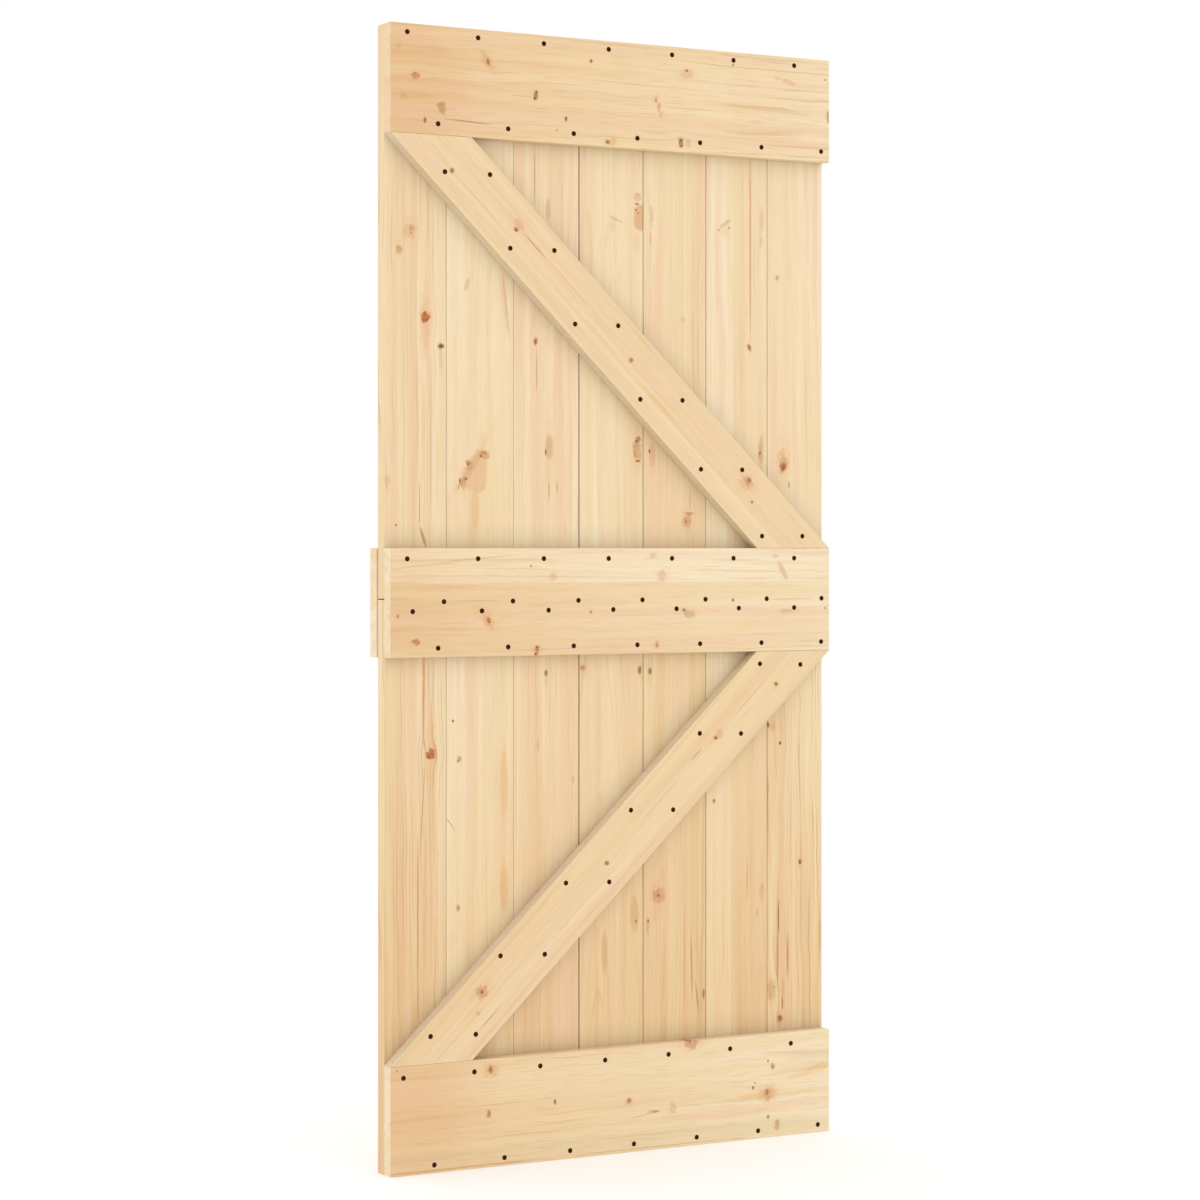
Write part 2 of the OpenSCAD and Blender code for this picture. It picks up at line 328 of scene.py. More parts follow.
def grain_and_painted_shade_group():
    """Growth rings round a pith line off the board, with bands, streaks, fibres and marks, under a
    painted contact shade.
    """
    net, given, made = new_group(
        "pine_grain_and_painted_shade",
        (("Point", "v"), ("Shift", "f"), ("Marks", "v"), ("Tints", "v"), ("Seed", "v"),
         ("Painted Side Tone", "f"), ("Painted Side Shade", "c"), ("Flat", "f"), ("Plain", "f"), ("Lift", "f"),
         ("Bands", "f"), ("Hue", "f"), ("Pith Across", "f"), ("Pith Depth", "f"), ("Tilt", "f"),
         ("Ring", "f"), ("Wobble", "f"), ("Ripple", "f"), ("Contrast", "f"), ("Dash", "f"),
         ("Tone", "f"), ("Fade", "f"), ("Cut 1", "f"), ("Cut 2", "f"), ("Tone 1", "f"),
         ("Tone 2", "f")),
        (("Color", "c"), ("Roughness", "f"), ("Height", "f")),
    )
    along, across, depth = net.split(given["Point"])
    # Glued strips have their own tone and grain
    past_1 = net.math("GREATER_THAN", across, given["Cut 1"])
    past_2 = net.math("GREATER_THAN", across, given["Cut 2"])
    strip = net.math("ADD", past_1, past_2)
    seed = net.vector("ADD", given["Seed"],
                      net.vector("MULTIPLY", net.join(strip, strip, strip), STRIP_SEED))
    # The grain wanders a little on its way along the board
    wander = net.swing(net.waves(given["Point"], WANDER_WAVE, seed))
    ripple = net.swing(net.waves(given["Point"], RIPPLE_WAVE, seed))
    bent = net.math("ADD", net.math("ADD", across, given["Shift"]),
                    net.math("MULTIPLY", wander, given["Wobble"]))
    bent = net.math("ADD", bent, net.math("MULTIPLY", ripple, given["Ripple"]))
    # Rings
    lean = net.math("MULTIPLY", along, LEAN)
    from_pith = net.math("SUBTRACT", net.math("SUBTRACT", bent, given["Pith Across"]), lean)
    tilt = net.math("MULTIPLY", along, given["Tilt"])
    behind = net.math("SUBTRACT", net.math("SUBTRACT", depth, given["Pith Depth"]), tilt)
    radius = net.vector("LENGTH", net.join(from_pith, behind, 0.0))
    years = net.join(net.math("MULTIPLY", radius, 1 / YEARS_WAVE), 0.0, 0.0)
    uneven = net.swing(net.noise(net.vector("ADD", years, seed), detail=1.0))
    grown = net.math("ADD", radius, net.math("MULTIPLY", uneven, YEARS_SHIFT))
    turn = net.math("FRACT", net.math("DIVIDE", grown, given["Ring"]))
    line = net.math("MULTIPLY", net.step(turn, *RING_RISE), net.step(turn, *RING_FALL))
    flow = net.join(net.math("MULTIPLY", along, 1 / STRENGTH_ALONG),
                    net.math("MULTIPLY", radius, 1 / STRENGTH_ACROSS), 0.0)
    strong = net.step(net.noise(net.vector("ADD", flow, seed)), *RING_STRENGTH)
    late = net.math("MULTIPLY", net.math("MULTIPLY", line, strong), given["Contrast"])
    # Bands and streaks
    long_way = net.join(along, bent, depth)
    bands = net.swing(net.waves(long_way, BAND_WAVE, seed, detail=4.0))
    hues = net.waves(long_way, HUE_WAVE, net.vector("ADD", seed, HUE_SEED))
    hues = net.math("ADD", hues, given["Hue"])
    fibre = net.waves(long_way, FIBRE_WAVE, detail=1.0)
    dashes = net.step(net.waves(long_way, DASH_WAVE, seed), *DASHES)
    dashes = net.math("MULTIPLY", dashes, given["Dash"])
    # Colour
    tone = net.math("ADD", given["Tone"], net.math("MULTIPLY", along, given["Fade"]))
    tone = net.math("ADD", tone, net.math("MULTIPLY", past_1, given["Tone 1"]))
    tone = net.math("ADD", tone, net.math("MULTIPLY", past_2, given["Tone 2"]))
    tone = net.math("ADD", tone, net.math("MULTIPLY", bands, given["Bands"]))
    # Painted light and shade on the sides, by the way they face
    tone = net.math("ADD", tone, given["Painted Side Tone"])
    colour = net.ramp(tone, TONES)
    colour = net.mix(net.step(hues, *PINK_STREAKS), colour, PINK)
    colour = net.mix(net.step(hues, *STRAW_STREAKS), colour, STRAW)
    colour = net.mix(late, colour, LATE)
    colour = net.mix(dashes, colour, LATE)
    colour = net.mix(net.step(fibre, *FIBRE_TONE), colour, LATE)
    clear = net.math("SUBTRACT", 1.0, given["Plain"])
    clear = net.join(clear, clear, clear)
    tan, red, brown = net.split(net.vector("MULTIPLY", given["Marks"], clear))
    olive, gold, _ = net.split(net.vector("MULTIPLY", given["Tints"], clear))
    for amount, tint in ((gold, GOLD), (tan, TAN), (olive, OLIVE), (red, RED), (brown, BROWN)):
        colour = net.mix(amount, colour, tint)
    # Painted contact shade from an ambient occlusion reading: greyer in corners, brown deep in
    # gaps, and looking down a little so that the wood on a ledge gets more shade than the wood
    # under one
    corner = net.node("ShaderNodeAmbientOcclusion", samples=CORNER_SAMPLES)
    normal = net.node("ShaderNodeNewGeometry").outputs["Normal"]
    down = net.vector("NORMALIZE", net.vector("ADD", normal, (0, 0, -LOOK_DOWN)))
    net.fill(corner, {"Distance": CORNER_REACH, "Normal": down})
    shade = net.ramp(corner.outputs["AO"], SHADES)
    # The painted shade fades out near the floor
    shade = net.mix(net.step(given["Lift"], 0.0, FLOOR_REACH), OPEN, shade)
    # A brace's sides take a flat painted shade in place of the contact shade
    shade = net.mix(given["Flat"], shade, given["Painted Side Shade"])
    net.put(made["Color"], net.mix(1.0, colour, shade, blend="MULTIPLY"))
    gloss = net.math("ADD", net.math("MULTIPLY", late, LATE_GLOSS),
                     net.math("MULTIPLY", red, KNOT_GLOSS))
    net.put(made["Roughness"], net.math("ADD", net.step(fibre, *PINE_HAZE), gloss))
    # Relief follows the plain board, because a bump evaluates its height three times
    ridges = net.waves(given["Point"], RIDGE_WAVE, seed)
    hair = net.waves(given["Point"], FIBRE_WAVE, detail=1.0)
    net.put(made["Height"], net.math("ADD", net.math("MULTIPLY", ridges, RIDGE_SHARE),
                                     net.math("MULTIPLY", hair, HAIR_SHARE)))
    return net.tree


KNOT = knot_group()
GRAIN_AND_PAINTED_SHADE = grain_and_painted_shade_group()

# A board's sides, which get painted light and shade by the way they face: the tone they add, which
# component of the normal tells them, where that tone starts and is full, how far marks fade there,
# and how far a flat painted shade tint replaces the painted contact shade
Side = namedtuple("Side", "tone axis none full plain flat tint",
                  defaults=(0, 0.6, 0.9, 0.8, 0.0, OPEN))
# Painted light: these end faces are lighter than the front by their tone; the plain edges are a
# little darker, as painted shade
SAWN_END_PAINTED_LIGHT = Side(tone=-0.22)
RAIL_END_PAINTED_LIGHT = Side(tone=-0.42)
PALER_END_PAINTED_LIGHT = Side(tone=-0.62)
LOW_END_PAINTED_LIGHT = Side(tone=-0.77)
PLAIN_EDGE_PAINTED_SHADE = Side(tone=0.05)
# Painted shade: a brace's sides are a little lighter in tone but lie under a flat painted shade
BRACE_SIDE_PAINTED_SHADE = Side(tone=-0.1, axis=1, none=0.97, full=0.8, plain=0.0, flat=1.0, tint=BRACE_SHADE)

# A kind of mark: its soft halo, its body's tan, red, olive and gold, its brown heart, how even its
# edge and heart are, and how far the grain bends round it
Look = namedtuple("Look", "halo tan red olive gold brown even bend", defaults=(0.0,) * 8)
KINDS = {
    "red": Look(halo=0.5, tan=0.6, red=0.82, brown=0.5, bend=0.6),
    "brick": Look(halo=0.3, tan=0.6, red=0.5, brown=0.3, bend=0.6),
    "rose": Look(halo=0.25, tan=0.6, red=0.16, brown=0.2, bend=0.2),
    "peach": Look(halo=0.16, tan=0.42, red=0.05, brown=0.05),
    "blush": Look(halo=0.1, tan=0.22),
    "patch": Look(halo=0.1, tan=0.45, red=0.03, even=0.7),
    "spot": Look(halo=0.2, tan=0.4, red=0.6, brown=0.5, even=0.3, bend=0.5),
    "olive": Look(halo=0.1, olive=0.6, brown=0.2, bend=0.4),
    "moss": Look(halo=0.12, olive=0.75, brown=0.5, even=0.4, bend=0.5),
    "pin": Look(halo=0.12, olive=0.4, red=0.25, brown=0.75, even=0.7, bend=0.5),
    "dot": Look(halo=0.08, olive=0.4, brown=0.4, even=0.6, bend=0.4),
    "dark": Look(halo=0.1, olive=0.4, brown=0.9, even=1.0, bend=0.5),
    "ghost": Look(halo=0.06, olive=0.22, brown=0.06),
    "smoke": Look(halo=0.06, tan=0.2, olive=0.24, even=0.8),
    "amber": Look(gold=0.3, even=1.0),
    "stain": Look(halo=0.4),
    "tint": Look(halo=0.33, even=1.0),
    "hint": Look(halo=0.14, even=1.0),
    "block": Look(tan=0.62, red=0.14, even=0.9),
    "wash": Look(halo=0.22),
    "faint": Look(halo=0.08),
    "flame": Look(halo=0.75, gold=0.5, red=0.06),
    "ember": Look(halo=0.5, tan=0.5, red=0.12),
    "line": Look(tan=0.4, olive=0.15, red=0.12, brown=0.28, even=1.0),
    "streak": Look(tan=0.5, olive=0.2, red=0.2, brown=0.5, even=1.0),
    "thread": Look(tan=0.24, olive=0.14, brown=0.06, even=1.0),
}
# One mark: its place in the photo, in pixels, its size along and across the grain, in mm, and how
# far it slants across per unit along
Knot = namedtuple("Knot", "kind u v long wide slant", defaults=(0.0,))
# The joint between two glued strips: a pixel of the photo on it, and the change of tone past it
Cut = namedtuple("Cut", "u v change")


def leaf_point(u, v, face_y):
    """The point of an upright plane that the photo shows at a pixel."""
    ray = Vector(((u - CENTRE_U) / FOCAL_PX, (CENTRE_V - v) / FOCAL_PX, -1))
    ray = CAMERA_TURN.to_matrix() @ ray
    return CAMERA_AT + ray * ((face_y - CAMERA_AT.y) / ray.y)


def pine(name, along, face_y, seed, tone, contrast, pith, knots, cuts=(), fade=0.0, hue=0.0,
         bands=0.95, dash=0.12, ring=7.0, wobble=14.0, ripple=2.0, tilt=0.01, side=SAWN_END_PAINTED_LIGHT):
    """A board's own pine.

    along is the direction of its grain in the leaf's plane, and face_y the plane that its marks are
    read on. tone, its fade along the board, contrast, bands, dash and hue set its colours. pith is
    where the rings' middle lies across the board and behind it, tilt how far that depth changes
    along the board, ring the rings' width, and wobble and ripple how far they wave, in mm.
    """
    material, net = new_material(name)
    grain_dir = Vector((along[0], 0, along[1])).normalized()
    cross_dir = Vector((-grain_dir.z, 0, grain_dir.x))
    low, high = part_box(name)
    middle = (low + high) / 2
    place = net.node("ShaderNodeTexCoord").outputs["Object"]
    offset = net.vector("SUBTRACT", place, tuple(middle))
    point = net.join(net.vector("DOT_PRODUCT", offset, tuple(grain_dir * MM)),
                     net.vector("DOT_PRODUCT", offset, tuple(cross_dir * MM)),
                     net.vector("DOT_PRODUCT", offset, (0, MM, 0)))
    # Sides get painted light and shade by the way they face
    facing = net.node("ShaderNodeTexCoord").outputs["Normal"]
    on_side = net.step(net.math("ABSOLUTE", net.split(facing)[side.axis]), side.none, side.full)
    rough = net.math("MULTIPLY", net.swing(net.waves(point, LUMP_WAVE)), RAGGED)
    speck = net.step(net.waves(point, GRIT_WAVE), *SPECKS)

    def board_point(u, v):
        off = leaf_point(u, v, face_y) - middle
        return (off.dot(grain_dir) * MM, off.dot(cross_dir) * MM, 0.0)

    chain = {"Shift": 0.0, "Marks": (0.0, 0.0, 0.0), "Tints": (0.0, 0.0, 0.0)}
    for knot in knots:
        look = KINDS[knot.kind]
        one = net.group(KNOT, {
            "Point": point, "Rough": rough, "Speck": speck, **chain,
            "Centre": board_point(knot.u, knot.v),
            "Inverse": (2 / knot.long, 2 / knot.wide, knot.slant),
            "Strength": (look.halo, look.red, look.brown),
            "Body": (look.tan, look.olive, look.even),
            "Gold": look.gold, "Bend": look.bend,
        })
        chain = {label: one[label] for label in chain}
    cut_1, cut_2 = [*(board_point(cut.u, cut.v)[1] for cut in cuts), NO_CUT, NO_CUT][:2]
    tone_1, tone_2 = [*(cut.change for cut in cuts), 0.0, 0.0][:2]
    wood = net.group(GRAIN_AND_PAINTED_SHADE, {
        "Point": point, **chain, "Seed": tuple(seed * part for part in BOARD_SEED),
        "Painted Side Tone": net.math("MULTIPLY", on_side, side.tone), "Painted Side Shade": side.tint,
        "Flat": net.math("MULTIPLY", on_side, side.flat),
        "Plain": net.math("MULTIPLY", on_side, side.plain),
        "Lift": net.split(place)[2], "Bands": bands, "Hue": hue,
        "Pith Across": pith[0], "Pith Depth": pith[1], "Tilt": tilt, "Ring": ring,
        "Wobble": wobble, "Ripple": ripple, "Contrast": contrast, "Dash": dash,
        "Tone": tone, "Fade": fade,
        "Cut 1": cut_1, "Cut 2": cut_2, "Tone 1": tone_1, "Tone 2": tone_2,
    })
    bump = net.node("ShaderNodeBump")
    net.fill(bump, {"Strength": BUMP_STRENGTH, "Distance": BUMP_DISTANCE,
                    "Height": wood["Height"]})
    shader = net.node("ShaderNodeBsdfPrincipled")
    net.fill(shader, {"Base Color": wood["Color"], "Roughness": wood["Roughness"],
                      "Normal": bump.outputs[0], "Specular IOR Level": PINE_SPECULAR})
    net.end("ShaderNodeOutputMaterial", shader)
    return material


def steel():
    """The screws' dark steel, with a little grime."""
    material, net = new_material("dark_steel")
    place = net.node("ShaderNodeTexCoord").outputs["Object"]
    grime = net.noise(net.vector("MULTIPLY", place, (GRIME_SCALE,) * 3), detail=3.0)
    shader = net.node("ShaderNodeBsdfPrincipled")
    net.fill(shader, {"Base Color": net.mix(grime, STEEL, BRIGHT_STEEL),
                      "Roughness": net.step(grime, *STEEL_HAZE),
                      "Specular IOR Level": STEEL_SPECULAR})
    net.end("ShaderNodeOutputMaterial", shader)
    return material


def dress(name, material):
    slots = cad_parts[name].data.materials
    slots.clear()
    slots.append(material)


# What the rails share, and what the braces share
RAIL_LOOKS = dict(ring=11.0, wobble=8.0, ripple=5.0, dash=0.26, side=RAIL_END_PAINTED_LIGHT)
BRACE_LOOKS = dict(contrast=0.18, bands=0.8, dash=0.14, ring=12.0, wobble=10.0, ripple=4.0,
                   pith=(90.0, 40.0), side=BRACE_SIDE_PAINTED_SHADE)
# The boards and the marks in them, which are the photo's, apart from the rear rail's
RAILS = {
    "top_rail": dict(
        seed=31, tone=0.48, fade=-0.0006, contrast=0.44, bands=0.8, pith=(-30.0, 55.0),
        knots=(
            Knot("brick", 416, 75, 20, 14), Knot("wash", 416, 80, 30, 14),
            Knot("tint", 404, 85, 140, 200), Knot("faint", 780, 100, 130, 150),
            Knot("peach", 487.5, 61, 32, 26, -0.9), Knot("wash", 480, 52, 20, 12),
            Knot("spot", 488, 62, 9, 14, -0.6), Knot("moss", 536, 95, 10, 18),
            Knot("dark", 536.5, 92, 5, 7), Knot("dark", 534.5, 98.5, 5, 6),
            Knot("thread", 522, 96, 50, 2), Knot("olive", 442, 107, 18, 25),
            Knot("line", 467, 121.5, 105, 3.4, -0.05), Knot("thread", 462, 84.5, 110, 2, -0.02),
            Knot("pin", 425, 120, 7, 11), Knot("pin", 566, 119, 6, 11), Knot("pin", 557, 130, 3, 4),
            Knot("pin", 591, 61, 7, 8), Knot("spot", 608, 142, 10, 10),
            Knot("pin", 607, 142.5, 6, 6), Knot("peach", 613, 141, 12, 18),
            Knot("patch", 687, 74, 30, 20), Knot("blush", 687, 75, 34, 22),
            Knot("spot", 687, 70.5, 8, 6), Knot("thread", 662, 70, 70, 1.6),
            Knot("peach", 656, 99, 10, 18), Knot("peach", 659, 107, 10, 20),
            Knot("peach", 661, 114, 9, 16), Knot("rose", 659, 108, 6, 16),
            Knot("dot", 656, 100.5, 4, 8), Knot("thread", 690, 109, 120, 2),
            Knot("moss", 681, 143, 12, 19), Knot("dark", 681, 140.5, 5, 6),
            Knot("dark", 681.5, 146, 5, 5), Knot("peach", 688, 143, 10, 16),
            Knot("peach", 788, 82, 34, 10, -0.2), Knot("ghost", 778, 79, 16, 6, -0.3),
            Knot("pin", 733, 65, 5, 5), Knot("pin", 825, 80, 4, 4), Knot("olive", 828, 117, 7, 24),
            Knot("ghost", 404, 95, 16, 14), Knot("ghost", 398.6, 46.5, 10, 12),
            Knot("thread", 775, 63, 120, 1.8), Knot("thread", 455, 73, 90, 1.6),
            Knot("thread", 560, 84, 120, 1.6),
        ),
    ),
    "mid_rail": dict(
        seed=32, tone=0.46, fade=-0.0006, contrast=0.28, bands=0.6, dash=0.2, side=PALER_END_PAINTED_LIGHT,
        pith=(-20.0, 60.0), cuts=(Cut(480, 583, -0.38),),
        knots=(
            Knot("ghost", 553, 577, 16, 16), Knot("peach", 662, 576, 18, 24),
            Knot("smoke", 783, 571, 22, 22, -1.3), Knot("ghost", 653, 556, 16, 12),
            Knot("ghost", 775, 556, 14, 8), Knot("peach", 488.5, 621, 26, 30, -0.6),
            Knot("wash", 482, 611, 20, 12), Knot("rose", 488.5, 621, 12, 22, -0.6),
            Knot("spot", 489, 621, 7, 11, -0.6), Knot("brick", 416, 642, 18, 13),
            Knot("brick", 537, 650, 10, 18), Knot("dark", 535.5, 654, 5, 6),
            Knot("pin", 537, 647, 5, 6), Knot("dot", 591, 612, 6, 8),
            Knot("ghost", 689, 614, 32, 18), Knot("patch", 689, 614, 24, 13),
            Knot("moss", 684, 610, 8, 7), Knot("pin", 733, 600, 6, 8),
            Knot("rose", 657, 645, 9, 15), Knot("pin", 657, 645, 4, 5), Knot("pin", 531, 566, 3, 5),
            Knot("wash", 790, 611, 36, 10), Knot("thread", 475, 600.5, 110, 2),
            Knot("thread", 790, 599, 110, 2), Knot("ghost", 786, 611, 24, 9),
            Knot("pin", 825, 608, 4, 4), Knot("stain", 402, 583, 50, 3),
            Knot("hint", 402, 622, 110, 90), Knot("hint", 402, 566, 110, 50),
            Knot("faint", 790, 622, 120, 60), Knot("thread", 455, 623, 90, 1.8),
            Knot("thread", 450, 629, 110, 1.8), Knot("thread", 445, 635, 100, 1.6),
            Knot("thread", 640, 615, 120, 1.6), Knot("thread", 425, 565.5, 150, 2.6, 0.09),
            Knot("thread", 478, 558.5, 150, 2.6, 0.08), Knot("wash", 440, 587, 90, 8),
            Knot("thread", 735, 560, 110, 1.6), Knot("dot", 398, 616, 7, 9),
        ),
    ),
    "bottom_rail": dict(
        seed=33, side=LOW_END_PAINTED_LIGHT, tone=0.3, fade=-0.0006, hue=-0.03, contrast=0.3, bands=0.65,
        pith=(40.0, 60.0),
        knots=(
            Knot("tint", 404, 1105, 150, 220), Knot("peach", 491, 1070, 32, 30),
            Knot("rose", 490.5, 1070, 18, 18), Knot("spot", 490.5, 1070, 8, 14),
            Knot("olive", 489, 1114, 10, 16), Knot("moss", 489, 1114, 6, 9),
            Knot("pin", 555, 1102, 5, 12), Knot("rose", 692, 1043, 34, 26),
            Knot("pin", 690, 1041, 6, 8), Knot("rose", 629, 1101, 12, 16),
            Knot("pin", 629, 1101, 5, 9), Knot("ghost", 673, 1108, 14, 26),
            Knot("ember", 768, 1093, 22, 28), Knot("rose", 767.5, 1094, 14, 20),
            Knot("spot", 767, 1092, 8, 14), Knot("pin", 753, 1088, 6, 8),
            Knot("pin", 755, 1083, 4, 4), Knot("pin", 768, 1061, 4, 7),
            Knot("brick", 772.5, 1066, 8, 12), Knot("pin", 768, 1117, 5, 9),
            Knot("rose", 777, 1125, 10, 22), Knot("amber", 812, 1070, 80, 13, 0.18),
            Knot("amber", 820, 1067, 34, 20, 0.1), Knot("amber", 800, 1075, 70, 8, 0.08),
            Knot("amber", 755, 1096, 90, 10), Knot("ghost", 652, 1112, 32, 8),
            Knot("line", 655, 1111.5, 22, 5), Knot("thread", 640, 1116, 40, 3, 0.1),
            Knot("dot", 397, 1071, 5, 5), Knot("ember", 425, 1171.6, 190, 3),
            Knot("ember", 505, 1163, 60, 3), Knot("thread", 470, 1166.5, 400, 3),
            Knot("thread", 650, 1147.2, 420, 3), Knot("thread", 500, 1104, 120, 1.8),
            Knot("thread", 450, 1128, 130, 1.8),
        ),
    ),
    "rear_rail": dict(
        seed=34, tone=0.35, fade=0.0002, contrast=0.42, pith=(10.0, -60.0), side=SAWN_END_PAINTED_LIGHT,
        cuts=(Cut(480, 610, 0.2),),
        knots=(
            Knot("rose", 455, 570, 22, 18), Knot("olive", 640, 620, 14, 18),
            Knot("pin", 560, 590, 7, 8), Knot("peach", 735, 585, 22, 22),
            Knot("spot", 735, 585, 8, 9), Knot("ghost", 700, 560, 20, 14),
            Knot("pin", 420, 630, 6, 6),
        ),
    ),
}
BRACES = {
    "upper_brace": dict(
        seed=41, tone=0.42, cuts=(Cut(461, 183, 0.06),),
        knots=(
            Knot("moss", 452, 171, 10, 10), Knot("pin", 452, 171, 6, 6),
            Knot("peach", 519, 225, 28, 20), Knot("spot", 516, 229.5, 10, 8),
            Knot("pin", 516, 230.5, 6, 4), Knot("line", 535, 246, 70, 2.6),
            Knot("moss", 631, 360, 10, 10), Knot("peach", 747, 482, 34, 32),
            Knot("rose", 748.5, 481.5, 22, 20), Knot("moss", 749.5, 480.5, 10, 10),
            Knot("pin", 752, 502, 6, 6), Knot("thread", 438, 151, 70, 2),
            Knot("wash", 660, 405, 50, 6), Knot("thread", 480, 202, 120, 2),
            Knot("thread", 570, 285, 120, 2),
        ),
    ),
    "lower_brace": dict(
        seed=42, tone=0.45, cuts=(Cut(640, 830, 0.05),),
        knots=(
            Knot("spot", 776, 684, 9, 9), Knot("pin", 776, 684, 5, 5),
            Knot("blush", 776, 686, 16, 14), Knot("peach", 718, 735, 26, 18),
            Knot("spot", 716, 738, 8, 7), Knot("pin", 716, 738.5, 5, 4),
            Knot("moss", 607, 863, 10, 10), Knot("pin", 606.5, 863.5, 5, 5),
            Knot("rose", 482, 992, 26, 26), Knot("pin", 482, 992, 8, 8),
            Knot("ghost", 478, 1013, 8, 12), Knot("line", 696, 755, 36, 2.6),
            Knot("line", 490, 1018, 70, 2), Knot("thread", 750, 698, 110, 2),
            Knot("thread", 660, 800, 120, 2),
        ),
    ),
}
